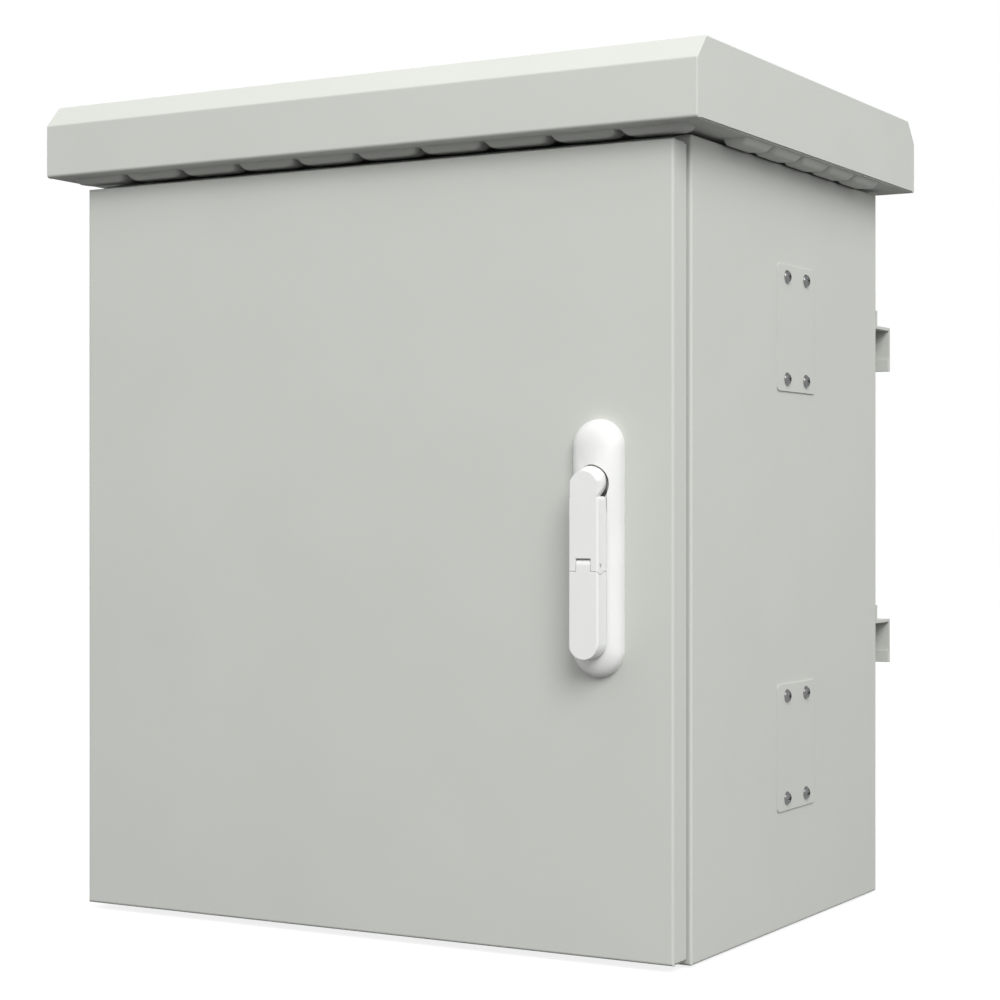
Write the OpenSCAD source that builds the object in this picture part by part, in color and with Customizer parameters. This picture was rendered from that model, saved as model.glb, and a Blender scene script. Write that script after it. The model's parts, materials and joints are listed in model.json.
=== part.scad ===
// Pole-mounted rack cabinet: welded sheet body with a hinged pan door, a rain hood with a louvred
// soffit, two pole rails on the back, rack rails inside and a swing handle with rod lock.
// X is to the right, Y to the back, Z up. Millimetres.

/* [Body] */
// Width of the body
body_w = 600; // [590:1:612]
// Height of the body
body_h = 665; // [655:1:685]
// Depth of the body
body_d = 415; // [405:1:445]
// Sheet thickness of body, door, hood and soffit
sheet = 1.5; // [1.2:0.1:1.8]
// Outside radius of the bent edges of body and door
bend_r = 2.2; // [1.8:0.1:3]
// Width of the frame round the door opening
frame_w = 38; // [36:0.5:39]
// Depth of the rain lip that stands forward round the opening
lip_d = 14; // [13:0.5:14.5]

/* [Door] */
// Distance from the body side to the door edge
door_inset = 3; // [2.5:0.1:4]
// Height of the lower door edge
door_z0 = 4; // [3:0.5:8]
// Distance from the upper door edge to the body top
door_drop = 6.5; // [6:0.5:9]
// Gap between the door and the body
door_gap = 3.5; // [3:0.1:4]
// Depth of the door pan
door_d = 24; // [24:0.5:26]
// Width of the foam gasket
gasket_w = 12; // [10:0.5:13]
// Free height between gasket and rain lip
gasket_free = 0.3; // [0.2:0.1:0.6]
// Height of the hinge arms
hinge_h = 30; // [24:1:40]
// Distance of the hinges from the lower and upper door edge
hinge_in = 115; // [90:1:130]

/* [Hood] */
// Width of the hood
hood_w = 656; // [656:1:670]
// Overhang of the hood in front of the body
hood_front = 49.5; // [47:0.5:54]
// Overhang of the hood behind the body
hood_back = 28.5; // [28:0.5:34]
// Height of the hood walls above the body top
hood_gap = 5; // [4.5:0.5:8]
// Height of the upright fascia
fascia_h = 46; // [40:1:60]
// Run of the chamfer along the upper edge
chamfer_run = 17; // [12:0.5:24]
// Rise of the chamfer along the upper edge
chamfer_rise = 19.5; // [14:0.5:24]
// Length of one louvre
louvre_l = 59; // [52:0.5:60]
// Distance from louvre to louvre
louvre_pitch = 62.5; // [62:0.1:63.5]
// Width of one louvre
louvre_w = 20; // [18:0.5:21]
// Depth of one louvre under the soffit
louvre_d = 6; // [5:0.1:6.5]

/* [Pole rails] */
// Height of the lower pole rail shelf underside
rail_z = 255.5; // [240:0.5:270]
// Distance from the lower to the upper pole rail
rail_rise = 282; // [270:0.5:290]
// Reach of a pole rail behind the body
rail_d = 37.5; // [36:0.5:44]
// Sheet thickness of a pole rail
rail_t = 3; // [2.5:0.1:3.2]
// Distance between the two mounting slots
slot_gap = 120; // [100:1:140]
// Length of a mounting slot
slot_l = 40; // [30:1:50]
// Width of a mounting slot
slot_w = 11; // [9:0.5:12]

/* [Rack] */
// Height units of the rack rails
units = 12; // [11:1:12]
// Distance from the body front to the front rack rails
rack_front = 70; // [60:1:80]
// Distance from the front to the rear rack rails
rack_depth = 302; // [280:1:302]
// Height of a carrier and its side plate
plate_h = 110.4; // [104:0.2:114]
// Width of a side plate
plate_d = 84; // [78:1:90]

/* [Handle] */
// Distance of the handle from the cabinet centre
handle_x = 232; // [230:0.5:232]
// Height of the swivel axis
swivel_z = 385.5; // [370:0.5:395]
// Width of the handle base
base_w = 44.6; // [43:0.2:47]
// Length of the handle base
base_l = 207.3; // [204:0.1:216]
// Width of the lever
lever_w = 26.3; // [25:0.1:27]
// Distance of the lever front from the door
lever_p = 29.6; // [29:0.1:31]
// Travel of the lock rods
rod_travel = 18; // [16:0.5:18]

/* [Hidden] */
$fn = 64;
play = 0.3;
run = 0.05;

hw = body_w / 2;
yb = -(body_d + rail_d - door_gap - door_d - lever_p) / 2;
yk = yb + body_d;
in_x = hw - sheet;
open_x = hw - frame_w;
open_z0 = frame_w;
open_z1 = body_h - frame_w;
return_w = frame_w - 26;

door_x = hw - door_inset;
door_y = yb - door_gap - door_d;
door_z1 = body_h - door_drop;
skin_y = door_y + sheet;
gasket_x0 = open_x + (sheet - gasket_w) / 2;
gasket_z0 = open_z0 - (sheet - gasket_w) / 2;
gasket_z1 = open_z1 + (sheet - gasket_w) / 2;

hinge_x = -door_x + sheet + 5.5;
hinge_y = skin_y + 8.5;
hinge_r = 5;
pin_r = 3;
ear_t = 4;
hinges = [door_z0 + hinge_in, door_z1 - hinge_in];

hood_x = hood_w / 2;
hood_y0 = yb - hood_front;
hood_y1 = yk + hood_back;
hood_z0 = body_h + hood_gap;
hood_z1 = hood_z0 + fascia_h;
hood_z2 = hood_z1 + chamfer_rise;
soffit_z = hood_z0 - sheet;
soffit_in = 0.5;
upstand = 12;
hood_bolt_x = hw - 60;
hood_bolt_y = [yb + 60, yk - 60];
louvre_y = [yb - hood_front / 2, yk + hood_back / 2];
louvre_x = (hw + hood_x) / 2;
louvre_mid = (yb + yk) / 2;

m8 = 4;
m8_hole = 4.3;
m8_head = 6.5;
m8_nut = 13;
m6 = 3;
m6_hole = 3.3;
m6_nut = 10;

rail_flange = 17.5;
rail_drop = 39;
rail_hem = 11;
rail_bolt_x = [-hw + 30, -hw / 3, hw / 3, hw - 30];
rail_bolt_z = rail_t + (rail_flange - rail_t) / 2;
slot_z = -14.5;
rail_levels = [rail_z, rail_z + rail_rise];

unit_h = 44.45;
rack_z0 = (body_h - units * unit_h) / 2;
rack_z1 = rack_z0 + units * unit_h;
rack_t = 2;
rack_hole_x = 465.1 / 2;
rack_hole = 9.5;
rack_x0 = rack_hole_x - 7.55;
rack_x1 = 251.5;
rack_leg = 45;
plate_t = 1;
plate_mid = yb + body_d / 2 + 7.5;
plate_levels = [body_h / 2 - 175, body_h / 2 + 190.4];
plate_cols = [plate_mid - 21.45, plate_mid + 21.45];
plate_rows = [for (z = plate_levels, s = [-1, 1]) z + s * (plate_h / 2 - 10.6)];
carrier_t = 2;
carrier_lip = 20;
carrier_y0 = yb + rack_front - 8;
carrier_y1 = yk - 15;
rack_bolt_rows = [for (z = plate_levels, s = [-1, 1]) z + s * (plate_h - carrier_lip) / 2];
rack_bolt_cols = [yb + rack_front + 25, yb + rack_front + rack_depth - 25];

gland_x = 160;
gland_y = yk - 115;
gland_w = 55;
gland_edge = 20;
gland_t = 2;
gland_z1 = sheet + 2 * gland_t;
gland_studs = [for (x = [-gland_x - 10, 0, gland_x + 10], s = [-1, 1]) [x, gland_y + s * (gland_w + 10)]];
grommet_x = [-105, -35, 35, 105];
grommet_r = 16;
earth = [-200, yb + 70];

base_top = 52.1;
base_foot = base_top - base_l;
gasket_t = 1;
gasket_in = 2;
collar_r = 9;
collar_hole = collar_r + play;
collar_in = 8;
well_r = 15.3;
well_p = 5;
shaft_r = 6;
disc_r = well_r - 0.5;
disc_p = 9;
tilt_p = 14;
tilt_r = 2;
lever_p0 = 15;
lever_x = lever_w / 2;
lever_edge = 1.6;
lever_foot = -139.7;
lever_shoulder = -9.9;
head_lean = 21.6;
head_top = 10;
head_gap = 1.1;
head_side = 1.15;
shoulder_r = 3.5;
flap_wall = 2;
flap_z = -65;
flap_p = lever_p - 5.1;
flap_pin_r = 1.5;
cheek_r = 6.8;
core_x = lever_x - flap_wall - 0.35;
core_p = lever_p - flap_wall - 0.4;
foot_z = lever_foot + lever_x;
tab_x = 6.45;
cylinder_z = -104.5;
cylinder_r = 8;
handle_screw_z = [-135.5, 39.5];
handle_screw_r = 2.5;
cam_p0 = -13;
cam_p1 = -9;
cam_pin = rod_travel / 2;
cam_pin_r = 3;
square_w = 8.4;
rod_p0 = -17;
rod_p1 = -14;
rod_x0 = 6;
rod_x1 = 18;
rod_top = open_z1 - 2 - swivel_z;
rod_foot = open_z0 + 2 - swivel_z;
guide_up = [85, rod_top - 35];
guide_down = [-205, rod_foot + 35];

// Which piece to draw

function hexagon(across) = [for (i = [0:5]) across / 2 / cos(30) * [cos(60 * i), sin(60 * i)]];

module box(x0, x1, y0, y1, z0, z1) {
    translate([x0, y0, z0]) cube([x1 - x0, y1 - y0, z1 - z0]);
}

module along_x(x0, x1) {
    translate([x0, 0, 0]) rotate([90, 0, 90]) linear_extrude(x1 - x0) children();
}

module along_y(y0, y1) {
    translate([0, y1, 0]) rotate([90, 0, 0]) linear_extrude(y1 - y0) children();
}

module along_z(z0, z1) {
    translate([0, 0, z0]) linear_extrude(z1 - z0) children();
}

module rod_x(x0, x1, y, z, r) {
    translate([x0, y, z]) rotate([0, 90, 0]) cylinder(h = x1 - x0, r = r);
}

module rod_y(x, y0, y1, z, r) {
    translate([x, y1, z]) rotate([90, 0, 0]) cylinder(h = y1 - y0, r = r);
}

module rod_z(x, y, z0, z1, r) {
    translate([x, y, z0]) cylinder(h = z1 - z0, r = r);
}

module nut(across, h, r) {
    linear_extrude(h) difference() {
        polygon(hexagon(across));
        circle(r);
    }
}

module rounded(x0, x1, y0, y1, r) {
    translate([x0 + r, y0]) square([x1 - x0 - 2 * r, y1 - y0]);
    translate([x0, y0 + r]) square([x1 - x0, y1 - y0 - 2 * r]);
    for (x = [x0 + r, x1 - r], y = [y0 + r, y1 - r]) translate([x, y]) circle(r);
}

module both_sides() {
    children();
    mirror([1, 0, 0]) children();
}

// Handle frame: x from the handle axis, y is the distance proud of the door face, z from the swivel.
module on_handle() {
    translate([handle_x, door_y, swivel_z]) mirror([0, 1, 0]) children();
}

// Welded body: walls and back, narrow return round the front, vents in the top, gland opening below.
module body_shell() color("gainsboro") difference() {
    union() {
        difference() {
            intersection() {
                along_y(yb, yk) rounded(-hw, hw, 0, body_h, bend_r);
                along_z(0, body_h) rounded(-hw, hw, yb, yk, bend_r);
                along_x(-hw, hw) rounded(yb, yk, 0, body_h, bend_r);
            }
            box(-in_x, in_x, yb + sheet, yk - sheet, sheet, body_h - sheet);
        }
        for (s = gland_studs) rod_z(s[0], s[1], sheet / 2, gland_z1 + 8, m6);
    }
    box(return_w - hw, hw - return_w, yb - 1, yb + sheet + 1, return_w, body_h - return_w);
    box(-gland_x, gland_x, gland_y - gland_w, gland_y + gland_w, -1, sheet + 1);
    for (y = plate_cols, z = plate_rows) rod_x(-hw - 1, hw + 1, y, z, m6_hole);
    for (x = rail_bolt_x, z = rail_levels) rod_y(x, yk - 5, yk + 1, z + rail_bolt_z, m8_hole);
    for (x = [-hood_bolt_x, hood_bolt_x], y = hood_bolt_y) rod_z(x, y, body_h - 5, body_h + 1, m8_hole);
    along_z(body_h - 5, body_h + 1)
        for (i = [0:7]) rounded(i * 46 - 165, i * 46 - 157, louvre_mid - 55, louvre_mid + 55, 3.9);
}

// Upright sides of the door frame, welded into the front return, each with a rain lip.
module frame_stiles() color("gainsboro")
    both_sides() {
        box(open_x, hw - return_w, yb, yb + sheet, return_w, body_h - return_w);
        box(open_x, open_x + sheet, yb - lip_d, yb + sheet, open_z0 - sheet, open_z1 + sheet);
    }

// Sill and head of the door frame between the stiles, each with a rain lip.
module frame_bars() color("gainsboro") {
    box(-open_x, open_x, yb, yb + sheet, return_w, open_z0);
    box(-open_x, open_x, yb - lip_d, yb + sheet, open_z0 - sheet, open_z0);
    box(-open_x, open_x, yb, yb + sheet, open_z1, body_h - return_w);
    box(-open_x, open_x, yb - lip_d, yb + sheet, open_z1, open_z1 + sheet);
}

// Roof profile across the depth, set in by the given amount.
module roof_profile(in, foot) {
    slope = in * 0.45;
    polygon([[hood_y0 + in, foot], [hood_y0 + in, hood_z1 - slope],
        [hood_y0 + chamfer_run + slope, hood_z2 - in], [hood_y1 - chamfer_run - slope, hood_z2 - in],
        [hood_y1 - in, hood_z1 - slope], [hood_y1 - in, foot]]);
}

// Rain hood: fascias with chamfered upper edges between two upright gables.
module hood() color("gainsboro") difference() {
    along_x(-hood_x, hood_x) roof_profile(0, hood_z0);
    along_x(-hood_x + sheet, hood_x - sheet) roof_profile(sheet, hood_z0 - 1);
}

// One louvre along x below z = 0, open towards +y.
module louvre_skin() {
    intersection() {
        along_x(-louvre_l / 2, louvre_l / 2)
            polygon([[-louvre_w / 2, sheet / 2], [-louvre_w / 2, 0], [-louvre_w / 2 + louvre_d, -louvre_d],
                [louvre_w / 2, -louvre_d], [louvre_w / 2, sheet / 2]]);
        along_y(-louvre_w / 2, louvre_w / 2)
            polygon([[-louvre_l / 2, sheet / 2], [-louvre_l / 2, 0], [-louvre_l / 2 + louvre_d, -louvre_d],
                [louvre_l / 2 - louvre_d, -louvre_d], [louvre_l / 2, 0], [louvre_l / 2, sheet / 2]]);
    }
}

// Hollow of one louvre with its slot on the +y flank.
module louvre_hollow() {
    d = louvre_d - 1.2;
    y = louvre_w / 2;
    x = louvre_l / 2 - 1.6;
    intersection() {
        along_x(-x, x)
            polygon([[1.6 - y, sheet + 1], [1.6 - y, 0], [1.6 - y + d, -d], [y + 1, -d], [y + 1, -0.6],
                [y - 1.6, -0.6], [y - 1.6, sheet + 1]]);
        along_y(-y, y + 1)
            polygon([[-x, sheet + 1], [-x, 0], [d - x, -d], [x - d, -d], [x, 0], [x, sheet + 1]]);
    }
}

module louvre_rows() {
    for (i = [-4.5:4.5]) translate([i * louvre_pitch, louvre_y[0], soffit_z]) children();
    for (i = [-3.5:3.5]) translate([i * louvre_pitch, louvre_y[1], soffit_z]) rotate([0, 0, 180]) children();
    for (i = [-2:2]) translate([0, louvre_mid + i * louvre_pitch, soffit_z]) {
        translate([louvre_x, 0, 0]) rotate([0, 0, 90]) children();
        translate([-louvre_x, 0, 0]) rotate([0, 0, -90]) children();
    }
}

// Soffit sheet that closes the hood from below, with pressed louvres along all four overhangs.
module soffit() color("gainsboro") difference() {
    union() {
        box(soffit_in - hood_x, hood_x - soffit_in, hood_y0 + soffit_in, hood_y1 - soffit_in, soffit_z, hood_z0);
        difference() {
            box(sheet + play - hood_x, hood_x - sheet - play, hood_y0 + sheet + play, hood_y1 - sheet - play,
                hood_z0 - sheet / 2, hood_z0 + upstand);
            box(2 * sheet + play - hood_x, hood_x - 2 * sheet - play, hood_y0 + 2 * sheet + play,
                hood_y1 - 2 * sheet - play, hood_z0 - 1, hood_z0 + upstand + 1);
        }
        louvre_rows() louvre_skin();
    }
    louvre_rows() louvre_hollow();
    for (x = [-hood_bolt_x, hood_bolt_x], y = hood_bolt_y) rod_z(x, y, soffit_z - 1, hood_z0 + 1, m8_hole);
}

// Spacer rings that hold the hood off the body top.
module hood_spacers() color("gainsboro")
    for (x = [-hood_bolt_x, hood_bolt_x], y = hood_bolt_y) difference() {
        rod_z(x, y, body_h, soffit_z, 10);
        rod_z(x, y, body_h - 1, soffit_z + 1, m8_hole);
    }

module hood_bolts() color("silver")
    for (x = [-hood_bolt_x, hood_bolt_x], y = hood_bolt_y) {
        rod_z(x, y, body_h - sheet - 5, body_h - sheet, m8_head);
        rod_z(x, y, body_h - sheet - 1, hood_z0 + 9, m8);
    }

module hood_nuts() color("silver")
    for (x = [-hood_bolt_x, hood_bolt_x], y = hood_bolt_y)
        translate([x, y, hood_z0]) nut(m8_nut, 6.5, m8 + run);

module gland_outline() {
    x = gland_x + gland_edge;
    w = gland_w + gland_edge;
    difference() {
        translate([-x, gland_y - w]) square([2 * x, 2 * w]);
        for (s = gland_studs) translate(s) circle(m6_hole);
    }
}

// Cover of the cable opening, on its gasket inside the floor.
module gland_plate() color("gainsboro")
    along_z(sheet + gland_t, gland_z1) difference() {
        gland_outline();
        for (x = grommet_x) translate([x, gland_y]) circle(grommet_r);
    }

module gland_gasket() color("dimgray")
    along_z(sheet, sheet + gland_t) difference() {
        gland_outline();
        translate([-gland_x, gland_y - gland_w]) square([2 * gland_x, 2 * gland_w]);
    }

module gland_nuts() color("silver")
    for (s = gland_studs) translate([s[0], s[1], gland_z1]) nut(m6_nut, 5, m6 + run);

// Membrane grommets, each snapped into the plate with its groove.
module cable_grommets() color("dimgray")
    for (x = grommet_x) translate([x, gland_y, gland_z1]) rotate_extrude()
        polygon([[0, -2.5], [0, -0.5], [grommet_r - 4, -0.5], [grommet_r - 3, 2.5], [grommet_r + 4, 2.5],
            [grommet_r + 4, 0], [grommet_r, 0], [grommet_r, -gland_t], [grommet_r + 3, -gland_t],
            [grommet_r + 3, -gland_t - 1.5], [grommet_r - 2, -gland_t - 1.5], [grommet_r - 3, -2.5]]);

// Pole rail: flange on the back wall, shelf, and a hanging plate with a hem and two slots.
module pole_rail(z) translate([0, yk, z]) difference() {
    along_x(-hw, hw) polygon([[0, 0], [0, rail_flange], [rail_t, rail_flange], [rail_t, rail_t],
        [rail_d, rail_t], [rail_d, -rail_drop], [rail_d - 2 * rail_t, -rail_drop],
        [rail_d - 2 * rail_t, rail_hem - rail_drop], [rail_d - rail_t, rail_hem - rail_drop],
        [rail_d - rail_t, 0]]);
    for (x = rail_bolt_x) rod_y(x, -1, rail_t + 1, rail_bolt_z, m8_hole);
    along_y(rail_d - rail_t - 1, rail_d + 1) for (x = [-slot_gap / 2, slot_gap / 2]) {
        a = (slot_l - slot_w) / 2;
        translate([x - a, slot_z - slot_w / 2]) square([2 * a, slot_w]);
        for (s = [-a, a]) translate([x + s, slot_z]) circle(slot_w / 2);
    }
}

module pole_rail_upper() color("gainsboro") pole_rail(rail_levels[1]);

module pole_rail_lower() color("gainsboro") pole_rail(rail_levels[0]);

module pole_rail_bolts() color("silver")
    for (x = rail_bolt_x, z = rail_levels) {
        rod_y(x, yk + rail_t, yk + rail_t + 5, z + rail_bolt_z, m8_head);
        rod_y(x, yk - sheet - 9, yk + rail_t + 1, z + rail_bolt_z, m8);
    }

module pole_rail_nuts() color("silver")
    for (x = rail_bolt_x, z = rail_levels)
        translate([x, yk - sheet, z + rail_bolt_z]) rotate([90, 0, 0]) nut(m8_nut, 6.5, m8 + run);

// Cover plate on the body side over one carrier.
module side_plate(z) difference() {
    along_x(hw, hw + plate_t)
        rounded(plate_mid - plate_d / 2, plate_mid + plate_d / 2, z - plate_h / 2, z + plate_h / 2, 4);
    for (y = plate_cols, r = plate_rows) rod_x(hw - 1, hw + plate_t + 1, y, r, m6_hole);
}

module side_plate_right_upper() color("gainsboro") side_plate(plate_levels[1]);

module side_plate_right_lower() color("gainsboro") side_plate(plate_levels[0]);

module side_plate_left_upper() color("gainsboro") mirror([1, 0, 0]) side_plate(plate_levels[1]);

module side_plate_left_lower() color("gainsboro") mirror([1, 0, 0]) side_plate(plate_levels[0]);

module plate_screws() color("silver")
    both_sides() for (y = plate_cols, z = plate_rows) {
        rod_x(hw + plate_t, hw + plate_t + 3.4, y, z, 6);
        rod_x(in_x - carrier_t - 7, hw + plate_t + 1, y, z, m6);
    }

module plate_nuts() color("silver")
    both_sides() for (y = plate_cols, z = plate_rows)
        translate([in_x - carrier_t - 5, y, z]) rotate([0, 90, 0]) nut(m6_nut, 5, m6 + run);

// Carrier channel between the body side and the rack rails.
module carrier(z) difference() {
    along_y(carrier_y0, carrier_y1) {
        translate([in_x - carrier_t, z - plate_h / 2]) square([carrier_t, plate_h]);
        for (s = [-1, 1]) {
            f = s > 0 ? z + plate_h / 2 - carrier_t : z - plate_h / 2;
            l = s > 0 ? z + plate_h / 2 - carrier_lip : z - plate_h / 2;
            translate([rack_x1, f]) square([in_x - rack_x1, carrier_t]);
            translate([rack_x1, l]) square([carrier_t, carrier_lip]);
        }
    }
    for (y = plate_cols, r = plate_rows) rod_x(in_x - 10, in_x + 1, y, r, m6_hole);
    for (y = rack_bolt_cols, r = rack_bolt_rows) rod_x(rack_x1 - 1, rack_x1 + 10, y, r, m6_hole);
}

module carrier_right_upper() color("silver") carrier(plate_levels[1]);

module carrier_right_lower() color("silver") carrier(plate_levels[0]);

module carrier_left_upper() color("silver") mirror([1, 0, 0]) carrier(plate_levels[1]);

module carrier_left_lower() color("silver") mirror([1, 0, 0]) carrier(plate_levels[0]);

// Upright angle with three square holes in each height unit; its face is at y = 0, its leg runs to +y.
module rack_rail() difference() {
    union() {
        along_y(0, rack_t) difference() {
            translate([rack_x0, rack_z0]) square([rack_x1 - rack_x0, rack_z1 - rack_z0]);
            for (u = [0:units - 1], h = [6.35, 22.225, 38.1])
                translate([rack_hole_x, rack_z0 + u * unit_h + h]) square(rack_hole, center = true);
        }
        box(rack_x1 - rack_t, rack_x1, 0, rack_leg, rack_z0, rack_z1);
    }
    for (z = rack_bolt_rows) rod_x(rack_x1 - 5, rack_x1 + 1, 25, z, m6_hole);
}

module rack_rail_front_right() color("silver") translate([0, yb + rack_front, 0]) rack_rail();

module rack_rail_front_left() color("silver") mirror([1, 0, 0]) rack_rail_front_right();

module rack_rail_rear_right() color("silver")
    translate([0, yb + rack_front + rack_depth, 0]) mirror([0, 1, 0]) rack_rail();

module rack_rail_rear_left() color("silver") mirror([1, 0, 0]) rack_rail_rear_right();

module rack_bolts() color("silver")
    both_sides() for (y = rack_bolt_cols, z = rack_bolt_rows) {
        rod_x(rack_x1 - rack_t - 3, rack_x1 - rack_t, y, z, 5);
        rod_x(rack_x1 - rack_t - 1, rack_x1 + carrier_t + 7, y, z, m6);
    }

module rack_nuts() color("silver")
    both_sides() for (y = rack_bolt_cols, z = rack_bolt_rows)
        translate([rack_x1 + carrier_t, y, z]) rotate([0, 90, 0]) nut(m6_nut, 5, m6 + run);

module earth_stud() color("silver") {
    rod_z(earth[0], earth[1], sheet, sheet + 2, 10);
    rod_z(earth[0], earth[1], sheet + 1, sheet + 20, m8);
}

module earth_nut() color("silver")
    translate([earth[0], earth[1], sheet + 2]) nut(m8_nut, 6.5, m8 + run);

// Hinge arms welded to the door frame, each with a knuckle for the pin.
module hinge_arms() color("silver")
    for (z = hinges) difference() {
        union() {
            box(hinge_x - 4, hinge_x + 4, hinge_y, yb, z - hinge_h / 2, z + hinge_h / 2);
            rod_z(hinge_x, hinge_y, z - hinge_h / 2, z + hinge_h / 2, hinge_r);
        }
        rod_z(hinge_x, hinge_y, z - hinge_h, z + hinge_h, pin_r);
    }

module hinge_pins() color("silver")
    for (z = hinges) {
        h = hinge_h / 2 + play + ear_t + play;
        rod_z(hinge_x, hinge_y, z - h, z + h, pin_r);
        for (s = [z - h - 2, z + h]) rod_z(hinge_x, hinge_y, s, s + 2, pin_r + 1.2);
    }

// Leaf ears on the door that turn on the hinge pins.
module hinge_leaves() color("silver")
    for (z = hinges) {
        box(hinge_x + 7, hinge_x + 20, skin_y, skin_y + 3, z - hinge_h / 2 - ear_t, z + hinge_h / 2 + ear_t);
        for (e = [z - hinge_h / 2 - play - ear_t, z + hinge_h / 2 + play]) difference() {
            union() {
                rod_z(hinge_x, hinge_y, e, e + ear_t, hinge_r);
                box(hinge_x, hinge_x + 20, skin_y, hinge_y + hinge_r - 1, e, e + ear_t);
            }
            rod_z(hinge_x, hinge_y, e - 1, e + ear_t + 1, pin_r + run);
        }
    }

// Section through the door pan from edge to edge, with its front edges rounded.
module bent_front(a, b) {
    translate([a + bend_r, door_y]) square([b - a - 2 * bend_r, door_d]);
    translate([a, door_y + bend_r]) square([b - a, door_d - bend_r]);
    for (x = [a + bend_r, b - bend_r]) translate([x, door_y + bend_r]) circle(bend_r);
}

// Pan door: flat skin with four returns, relieved at the corners and at the hinge arms.
module door_panel() color("gainsboro") difference() {
    intersection() {
        along_z(door_z0, door_z1) bent_front(-door_x, door_x);
        along_x(-door_x, door_x) mirror([1, -1]) bent_front(door_z0, door_z1);
    }
    box(sheet - door_x, door_x - sheet, skin_y, yb, door_z0 + sheet, door_z1 - sheet);
    for (x = [-door_x, door_x], z = [door_z0, door_z1])
        box(x - 2, x + 2, skin_y + 1, yb, z - 2, z + 2);
    for (z = hinges)
        box(-door_x - 1, sheet + 1 - door_x, skin_y + 1, yb, z - hinge_h / 2 - 2, z + hinge_h / 2 + 2);
    on_handle() {
        rod_y(0, -5, 5, 0, collar_hole);
        for (z = handle_screw_z) rod_y(0, -5, 5, z, handle_screw_r + play);
    }
}

module door_gasket() color("dimgray")
    along_y(skin_y, yb - lip_d - gasket_free) difference() {
        x1 = gasket_x0 + gasket_w;
        rounded(-x1, x1, gasket_z0 - gasket_w, gasket_z1 + gasket_w, 9);
        translate([-gasket_x0, gasket_z0]) square([2 * gasket_x0, gasket_z1 - gasket_z0]);
    }

// Hat section that stiffens the door skin.
module door_stiffener() color("gainsboro")
    translate([-215, skin_y, 0]) along_z(door_z0 + 60, door_z1 - 60)
        polygon([[-25, 0], [-12, 0], [-12, 10.5], [12, 10.5], [12, 0], [25, 0], [25, 1.5], [13.5, 1.5],
            [13.5, 12], [-13.5, 12], [-13.5, 1.5], [-25, 1.5]]);

module stadium(w, foot, top) {
    r = w / 2;
    translate([-r, foot + r]) square([w, top - foot - w]);
    for (z = [foot + r, top - r]) translate([0, z]) circle(r);
}

// Seal in a recess under the handle base, round the collar and the screws.
module handle_gasket() color("dimgray") on_handle()
    along_y(0, gasket_t) difference() {
        stadium(base_w - 2 * gasket_in, base_foot + gasket_in, base_top - gasket_in);
        circle(collar_hole);
        for (z = handle_screw_z) translate([0, z]) circle(handle_screw_r + play);
    }

// Handle base with the swivel well, the lever channel and the collar through the door.
module handle_base() color("white") on_handle() difference() {
    union() {
        intersection() {
            along_y(0, 30) stadium(base_w, base_foot, base_top);
            along_x(-base_w, base_w) polygon([[0, base_foot - 1], [2.4, base_foot - 1], [9, base_foot + 9.7],
                [14, base_foot + 31.7], [14, -13.5], [21, -5.5], [21, 16.5], [14, 39.5], [3.2, base_top + 1],
                [0, base_top + 1]]);
            along_z(base_foot - 1, base_top + 1) polygon([[-base_w / 2 - 1, 0], [-base_w / 2 - 1, 2],
                [-17.2, 21], [17.2, 21], [base_w / 2 + 1, 2], [base_w / 2 + 1, 0]]);
        }
        rod_y(0, -collar_in, 2, 0, collar_r);
    }
    along_y(-1, gasket_t) difference() {
        stadium(base_w - 2 * gasket_in, base_foot + gasket_in, base_top - gasket_in);
        circle(collar_r);
    }
    rod_y(0, well_p, 30, 0, well_r);
    rod_y(0, -collar_in - 1, well_p + 1, 0, shaft_r + run);
    box(-base_w, lever_x + 1, lever_p0 - 0.5, 30, base_foot - 1, 0);
    box(-base_w, 0, lever_p0 - 0.5, 30, -1, lever_x + 1.3);
    for (z = handle_screw_z) rod_y(0, 0, 8, z, handle_screw_r + run);
}

module handle_screws() color("silver") on_handle()
    for (z = handle_screw_z) {
        rod_y(0, -sheet - 3, -sheet, z, 4.5);
        rod_y(0, -sheet - 1, 7.5, z, handle_screw_r);
    }

// Rotor: shaft through the door, disc in the well and two ears for the tilt pin.
module handle_rotor() color("silver") on_handle() difference() {
    union() {
        rod_y(0, cam_p1, disc_p - 1, 0, shaft_r);
        rod_y(0, well_p + play, disc_p, 0, disc_r);
        box(-square_w / 2, square_w / 2, cam_p0, cam_p1 + 1, -square_w / 2, square_w / 2);
        for (x = [-11, 7]) along_x(x, x + 4) {
            translate([tilt_p, 0]) circle(5);
            translate([disc_p - 1, -5]) square([tilt_p - disc_p + 1, 10]);
        }
    }
    rod_x(-12, 12, tilt_p, 0, tilt_r);
    rod_y(0, cam_p0 - 1, -4, 0, 2 + run);
}

module lever_pin() color("silver") on_handle() rod_x(-11, 11, tilt_p, 0, tilt_r);

module cam_screw() color("silver") on_handle() {
    rod_y(0, cam_p0 - 3, cam_p0, 0, 4.5);
    rod_y(0, cam_p0 - 1, -5, 0, 2);
}

// Cam on the rotor square, with one pin for each lock rod.
module lock_cam() color("silver") on_handle() difference() {
    union() {
        along_y(cam_p0, cam_p1) {
            rounded(-14, 14, -14, 14, 5);
            translate([0, -6]) square([23, 12]);
        }
        for (s = [-1, 1]) rod_y(s * cam_pin, rod_p0 - 1.5, cam_p0 + 1, s * cam_pin, cam_pin_r);
    }
    box(-square_w / 2 - run, square_w / 2 + run, cam_p0 - 1, cam_p1 + 1, -square_w / 2 - run, square_w / 2 + run);
}

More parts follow.
